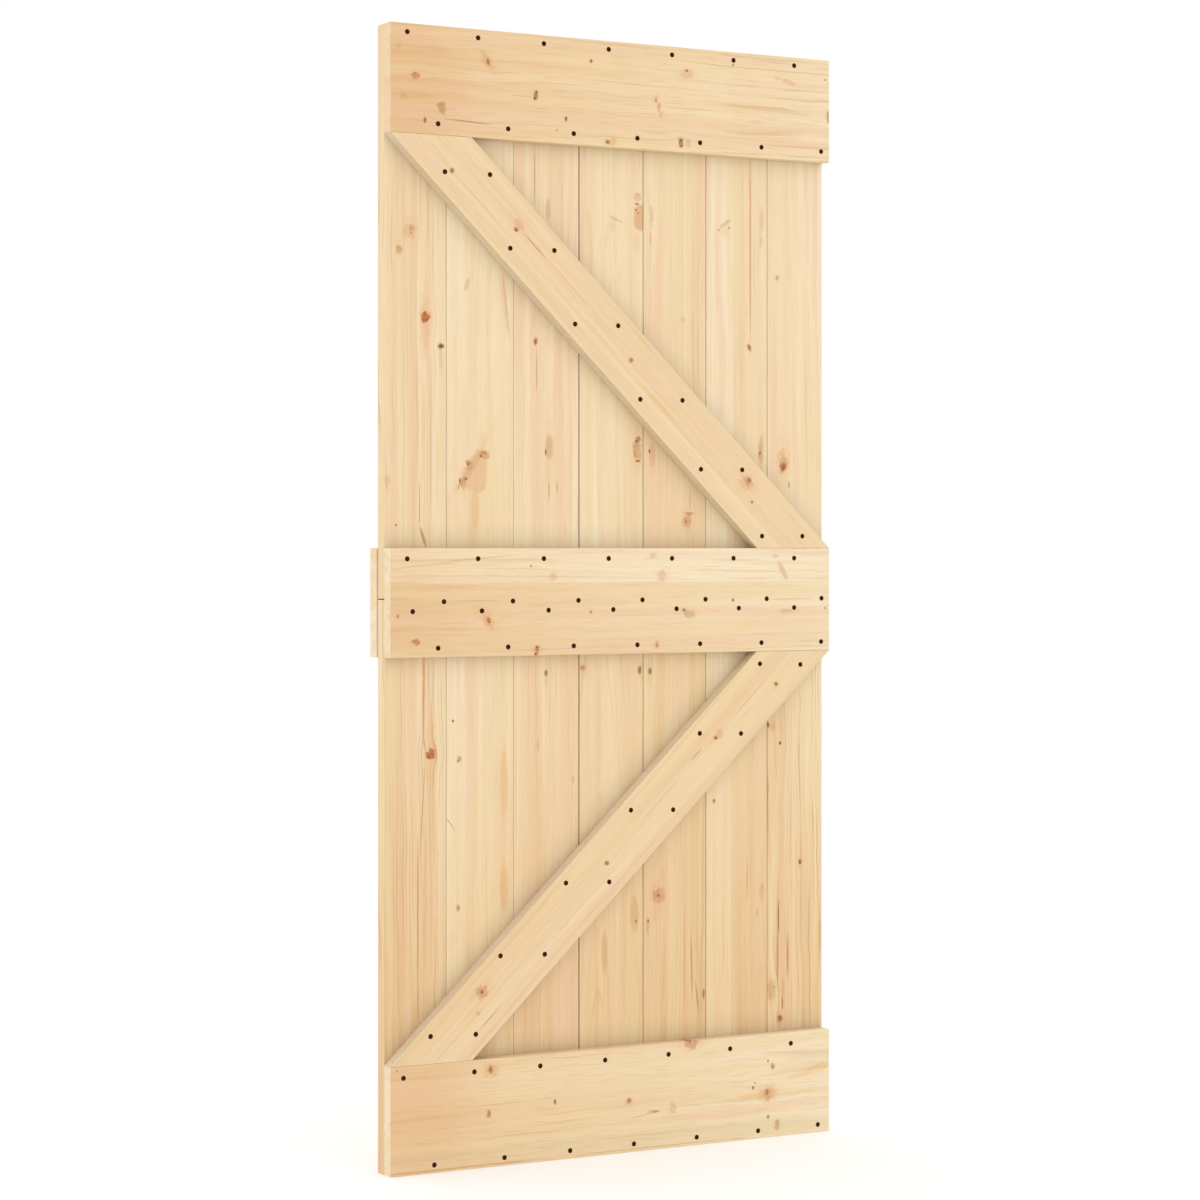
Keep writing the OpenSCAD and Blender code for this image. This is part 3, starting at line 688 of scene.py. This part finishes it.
PLANKS = {
    "upper_plank_1": dict(
        seed=1, tone=0.317, hue=0.03, contrast=0.42, bands=1.0, pith=(150.0, 20.0), side=PLAIN_EDGE_PAINTED_SHADE,
        cuts=(Cut(417, 400, 0.078),),
        knots=(
            Knot("peach", 410, 231, 32, 30), Knot("rose", 412, 229, 14, 12),
            Knot("pin", 411, 233, 4, 3), Knot("rose", 399, 249, 16, 15),
            Knot("red", 425.5, 317, 20, 20), Knot("pin", 424.5, 312.5, 6, 7),
            Knot("pin", 427, 320, 5, 5), Knot("stain", 425, 322, 60, 18),
            Knot("moss", 441, 346, 11, 14), Knot("dark", 441, 346, 7, 11),
            Knot("stain", 441, 356, 28, 7), Knot("pin", 396, 525, 5, 5),
            Knot("peach", 387, 481, 24, 13), Knot("line", 423, 537, 38, 7, 0.31),
            Knot("line", 419.5, 505, 90, 2), Knot("thread", 417.3, 420, 260, 2),
            Knot("thread", 431, 450, 300, 2.4), Knot("thread", 424, 430, 200, 1.8),
            Knot("thread", 437, 470, 200, 2), Knot("thread", 420, 190, 160, 2),
            Knot("thread", 428, 210, 160, 2.4), Knot("thread", 433, 250, 180, 2),
        ),
    ),
    "upper_plank_2": dict(
        seed=2, tone=0.19, fade=-0.0004, contrast=0.15, bands=0.6, pith=(40.0, 70.0),
        cuts=(Cut(457, 400, -0.04), Cut(502, 400, 0)),
        knots=(
            Knot("peach", 470, 466, 80, 18, -0.65), Knot("patch", 481.5, 468, 60, 26),
            Knot("patch", 474, 482, 34, 54), Knot("patch", 475, 473, 44, 36),
            Knot("patch", 478, 487, 22, 34), Knot("smoke", 472, 467, 66, 16, -0.65),
            Knot("wash", 474, 518, 76, 24), Knot("amber", 475, 508, 80, 18),
            Knot("wash", 483, 446, 24, 18), Knot("rose", 463, 483, 26, 16),
            Knot("rose", 484, 455, 18, 22), Knot("rose", 470, 466, 18, 16),
            Knot("olive", 484, 453, 6, 12), Knot("olive", 468, 462, 9, 12),
            Knot("olive", 460, 480, 12, 5), Knot("thread", 506, 305, 130, 5, 0.12),
            Knot("wash", 503.5, 300, 50, 8, 0.12), Knot("pin", 481, 456, 7, 7),
            Knot("pin", 468, 464, 6, 7), Knot("pin", 466, 479, 6, 7), Knot("pin", 460, 481, 6, 4),
            Knot("line", 459, 486, 18, 3, -0.2), Knot("smoke", 467, 284, 26, 9, -0.3),
        ),
    ),
    "upper_plank_3": dict(
        seed=3, tone=0.30, hue=0.12, contrast=0.28, pith=(-70.0, 40.0), side=PLAIN_EDGE_PAINTED_SHADE,
        cuts=(Cut(536, 400, -0.05),),
        knots=(
            Knot("spot", 535.5, 341, 15, 9), Knot("pin", 535.5, 342, 8, 5),
            Knot("patch", 549.5, 448, 52, 20), Knot("smoke", 548.8, 447, 44, 15),
            Knot("stain", 549, 446, 18, 10), Knot("pin", 545.7, 452, 15, 4.5),
            Knot("line", 536.5, 372, 90, 2), Knot("wash", 549, 462, 90, 16),
            Knot("line", 549, 490, 36, 2.4), Knot("line", 557, 487, 30, 2),
            Knot("smoke", 548, 209, 44, 11), Knot("blush", 535, 175, 110, 5),
            Knot("line", 534.5, 180, 100, 2),
        ),
    ),
    "upper_plank_4": dict(
        seed=4, tone=0.247, fade=-0.0001, contrast=0.22, pith=(60.0, 60.0),
        cuts=(Cut(603, 400, 0.052), Cut(616, 400, -0.067)),
        knots=(
            Knot("block", 641.5, 212, 30, 34), Knot("block", 641.5, 218, 30, 34),
            Knot("block", 641.5, 224, 28, 34), Knot("olive", 637.5, 194, 6, 5, 2.5),
            Knot("smoke", 637.5, 197.5, 16, 18), Knot("wash", 637.5, 196, 10, 14),
            Knot("pin", 637, 204, 4, 11), Knot("pin", 636, 210, 5, 4), Knot("pin", 638, 213, 3, 4),
            Knot("rose", 637.5, 450, 42, 22), Knot("spot", 638.5, 439, 10, 12),
            Knot("pin", 636.5, 441.5, 6, 8), Knot("line", 634.3, 450, 38, 2),
            Knot("pin", 638, 461, 5, 12), Knot("smoke", 614, 218.5, 10, 14, 1.5),
            Knot("ghost", 619, 220.5, 8, 9, 2.0), Knot("wash", 612, 226, 12, 12),
            Knot("wash", 606, 240, 20, 6), Knot("wash", 637, 242, 24, 14),
        ),
    ),
    "upper_plank_5": dict(
        seed=5, tone=0.38, fade=-0.0003, hue=0.03, contrast=0.3, bands=0.75, pith=(-110.0, 30.0),
        cuts=(Cut(684, 400, 0),),
        knots=(
            Knot("ghost", 651.5, 216, 44, 9), Knot("smoke", 650.5, 239, 30, 5),
            Knot("thread", 693, 345, 140, 2), Knot("thread", 698, 350, 120, 2),
            Knot("ghost", 683, 320, 10, 9), Knot("pin", 649.5, 451, 10, 5),
            Knot("peach", 652, 455, 44, 16), Knot("rose", 687, 521, 24, 24),
            Knot("olive", 690, 513.5, 7, 22), Knot("spot", 686, 522, 8, 7),
            Knot("line", 690, 500, 40, 2),
        ),
    ),
    "upper_plank_6": dict(
        seed=6, tone=0.355, fade=-0.0001, contrast=0.22, bands=0.7, pith=(-60.0, 50.0),
        cuts=(Cut(733, 400, -0.266),),
        knots=(
            Knot("smoke", 725, 224, 18, 14, -1.2), Knot("ghost", 727.5, 221.5, 10, 7, -1.2),
            Knot("wash", 725, 231, 14, 18), Knot("dot", 719, 230, 4, 6),
            Knot("dot", 729, 228, 7, 4), Knot("spot", 749.5, 348, 13, 10),
            Knot("pin", 749.5, 348.5, 6, 5), Knot("stain", 761.5, 220, 24, 9),
            Knot("stain", 760.5, 242, 16, 5), Knot("ghost", 762, 240, 12, 4),
            Knot("ghost", 761, 450, 54, 14), Knot("peach", 760.5, 452, 40, 11),
            Knot("pin", 760, 453, 11, 5), Knot("faint", 741, 355, 60, 16),
            Knot("block", 750.3, 250, 380, 5),
        ),
    ),
    "upper_plank_7": dict(
        seed=7, tone=0.122, fade=-0.00016, hue=-0.03, contrast=0.18, bands=0.9, pith=(100.0, 50.0),
        cuts=(Cut(792, 400, 0.144),),
        knots=(
            Knot("ghost", 777, 278, 13, 13), Knot("dot", 777, 278, 8, 8),
            Knot("peach", 783, 461, 52, 30), Knot("rose", 783, 464, 36, 24),
            Knot("brick", 783, 466, 20, 16), Knot("moss", 783, 467, 15, 14),
            Knot("pin", 783.5, 468, 9, 8), Knot("dot", 789, 485, 16, 4),
        ),
    ),
    "lower_plank_1": dict(
        seed=11, tone=0.548, fade=-0.00065, contrast=0.75, pith=(130.0, 20.0),
        cuts=(Cut(417, 850, 0.175),),
        knots=(
            Knot("red", 431, 754, 20, 22), Knot("pin", 434, 757, 5, 5),
            Knot("pin", 428, 757.5, 6, 4), Knot("stain", 431, 742, 60, 16),
            Knot("stain", 431, 766, 60, 16), Knot("flame", 423.7, 680, 110, 5),
            Knot("line", 423, 712, 130, 2), Knot("line", 424.7, 745, 36, 2, 0.12),
            Knot("wash", 430, 810, 170, 22), Knot("wash", 428, 900, 320, 24),
            Knot("line", 422.5, 810, 200, 2.2, -0.06), Knot("line", 417.8, 915, 300, 3.2),
            Knot("thread", 430, 815, 200, 2.4), Knot("thread", 425.5, 900, 300, 2.6),
            Knot("thread", 431, 905, 300, 2.4), Knot("thread", 437, 900, 300, 2.4),
            Knot("thread", 434, 830, 200, 2), Knot("thread", 429, 695, 120, 2),
            Knot("thread", 434, 700, 140, 2), Knot("stain", 424, 960, 200, 6),
            Knot("line", 418, 1000, 90, 2.6),
        ),
    ),
    "lower_plank_2": dict(
        seed=12, tone=0.503, fade=-0.00064, hue=-0.05, contrast=0.22, pith=(30.0, 60.0),
        cuts=(Cut(456, 850, -0.209), Cut(494, 850, -0.039)),
        knots=(
            Knot("dark", 453, 721, 6, 5), Knot("olive", 459.5, 759, 10, 9),
            Knot("pin", 458, 761, 6, 5), Knot("olive", 458, 908, 12, 10),
            Knot("amber", 504, 782, 130, 17), Knot("amber", 504, 885, 100, 16),
            Knot("wash", 504, 805, 120, 12), Knot("stain", 504, 890, 46, 16),
            Knot("line", 450.5, 824, 28, 2.4, 0.7),
        ),
    ),
    "lower_plank_3": dict(
        seed=13, tone=0.61, fade=-0.0006, hue=0.12, contrast=0.38, pith=(-100.0, 30.0),
        cuts=(Cut(535, 850, 0.018),),
        knots=(
            Knot("pin", 546, 673, 12, 7.5), Knot("blush", 546, 680, 24, 11),
            Knot("ghost", 573, 780, 16, 6), Knot("line", 538, 745, 30, 2),
        ),
    ),
    "lower_plank_4": dict(
        seed=14, tone=0.614, fade=-0.0005, hue=-0.05, bands=0.9, contrast=0.3, tilt=0.05,
        pith=(35.0, 40.0), cuts=(Cut(603, 850, 0.071), Cut(618, 850, -0.163)),
        knots=(
            Knot("rose", 583, 668, 10, 16), Knot("brick", 582, 667, 6, 8),
            Knot("pin", 639.7, 670, 18, 9), Knot("wash", 640, 670, 24, 13),
            Knot("wash", 600, 720, 110, 8), Knot("smoke", 604.5, 952, 80, 14),
            Knot("wash", 604.5, 952, 30, 8), Knot("pin", 636, 921, 6, 5),
            Knot("smoke", 634.5, 914, 72, 20), Knot("wash", 635, 914, 26, 12),
        ),
    ),
    "lower_plank_5": dict(
        seed=15, tone=0.822, fade=-0.00043, contrast=0.38, bands=0.8, pith=(-80.0, 30.0),
        cuts=(Cut(690, 850, -0.183),),
        knots=(
            Knot("pin", 650, 671, 15, 8), Knot("wash", 650, 671, 20, 11),
            Knot("rose", 658.5, 895, 32, 32), Knot("rose", 661, 893, 18, 16),
            Knot("spot", 658.5, 895, 8, 8), Knot("wash", 663, 879, 24, 12),
            Knot("wash", 656, 911, 24, 14), Knot("ghost", 648, 925, 34, 8),
            Knot("moss", 703.5, 994, 24, 7), Knot("pin", 648, 921, 7, 5),
            Knot("olive", 692, 722, 10, 8), Knot("thread", 684.5, 960, 220, 4),
            Knot("line", 691.5, 965, 140, 3.6, 0.02), Knot("line", 697, 997, 70, 3.6, 0.12),
            Knot("stain", 697, 950, 60, 6),
        ),
    ),
    "lower_plank_6": dict(
        seed=16, tone=0.683, fade=-0.0006, contrast=0.28, bands=0.7, pith=(-50.0, 60.0),
        cuts=(Cut(731, 850, -0.364),),
        knots=(
            Knot("pin", 714, 801, 8, 6.5), Knot("peach", 761.5, 893, 34, 10),
            Knot("ghost", 762.5, 886, 12, 5), Knot("ghost", 757, 912, 14, 6),
            Knot("line", 747, 880, 90, 2),
        ),
    ),
    "lower_plank_7": dict(
        seed=17, tone=0.466, fade=-0.0006, contrast=0.85, bands=1.6, wobble=26.0, ripple=4.0,
        pith=(70.0, 20.0), cuts=(Cut(792, 850, 0.247),),
        knots=(
            Knot("pin", 767.5, 724, 14, 9, 0.3), Knot("peach", 773, 727, 15, 13),
            Knot("dark", 780, 743, 8, 6), Knot("spot", 800, 862, 12, 8),
            Knot("dark", 800, 862.5, 6, 5), Knot("stain", 801, 848, 40, 5),
            Knot("streak", 778.3, 918, 80, 4.5), Knot("line", 777.5, 957, 110, 5),
            Knot("pin", 774, 987, 4, 4), Knot("peach", 770, 990, 40, 16),
            Knot("smoke", 771.5, 990, 46, 22), Knot("wash", 770, 984, 20, 12),
            Knot("line", 787.5, 955, 90, 4.5), Knot("peach", 783, 990, 44, 8),
            Knot("streak", 782.3, 1003, 28, 3.5), Knot("brick", 780, 1018, 16, 13),
            Knot("pin", 779.5, 1017, 9, 8), Knot("ember", 819.5, 932, 70, 7),
        ),
    ),
}
for name, looks in PLANKS.items():
    dress(name, pine(name, UP, PLANK_Y, **looks))
for name, looks in RAILS.items():
    dress(name, pine(name, ACROSS, FRONT_Y, **{**RAIL_LOOKS, **looks}))
for name, rise in (("upper_brace", -1), ("lower_brace", 1)):
    low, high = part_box(name)
    run = (high.x - low.x - BRACE_CUT, rise * (high.z - low.z))
    dress(name, pine(name, run, FRONT_Y, **BRACE_LOOKS, **BRACES[name]))
DARK_STEEL = steel()
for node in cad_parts:
    if node.endswith("_screws"):
        dress(node, DARK_STEEL)


def make_camera():
    data = bpy.data.cameras.new("camera")
    data.sensor_width = SENSOR_MM
    data.lens = SENSOR_MM * FOCAL_PX / PHOTO_SIZE
    data.shift_y = (CENTRE_V - PHOTO_SIZE / 2) / PHOTO_SIZE
    camera = bpy.data.objects.new("camera", data)
    camera.location = CAMERA_AT
    camera.rotation_euler = CAMERA_TURN
    bpy.context.scene.collection.objects.link(camera)
    bpy.context.scene.camera = camera


def seen(net):
    """1 where a camera, glossy or transmission ray looks, and 0 for light that bounces."""
    path = net.node("ShaderNodeLightPath").outputs
    looks = net.math("MAXIMUM", path["Is Camera Ray"], path["Is Glossy Ray"])
    return net.math("MAXIMUM", looks, path["Is Transmission Ray"])


def make_world():
    """A plain sky that lights the leaf and looks white."""
    world = bpy.data.worlds.new("studio")
    bpy.context.scene.world = world
    world.use_nodes = True
    world.node_tree.nodes.clear()
    net = Net(world.node_tree)
    back = net.node("ShaderNodeBackground")
    net.fill(back, {"Strength": net.step(seen(net), 0.0, 1.0, SKY, 1.0), "Color": WHITE})
    net.end("ShaderNodeOutputWorld", back)


def make_floor():
    """A pale floor with a faint glow, so that it looks white away from the leaf's shadow."""
    half = FLOOR_SIZE / 2
    corners = [(-half, -half, 0), (half, -half, 0), (half, half, 0), (-half, half, 0)]
    mesh = bpy.data.meshes.new("floor")
    mesh.from_pydata(corners, [], [(0, 1, 2, 3)])
    floor = bpy.data.objects.new("floor", mesh)
    bpy.context.scene.collection.objects.link(floor)
    material, net = new_material("floor")
    diffuse = net.node("ShaderNodeBsdfDiffuse")
    net.fill(diffuse, {"Color": (FLOOR_ALBEDO, FLOOR_ALBEDO, FLOOR_ALBEDO, 1.0)})
    glow = net.node("ShaderNodeEmission")
    net.fill(glow, {"Strength": net.math("MULTIPLY", seen(net), FLOOR_FILL)})
    both = net.node("ShaderNodeAddShader")
    net.put(both.inputs[0], diffuse.outputs[0])
    net.put(both.inputs[1], glow.outputs[0])
    net.end("ShaderNodeOutputMaterial", both)
    mesh.materials.append(material)


make_camera()
make_world()
make_floor()
bpy.context.scene.view_settings.view_transform = "Standard"
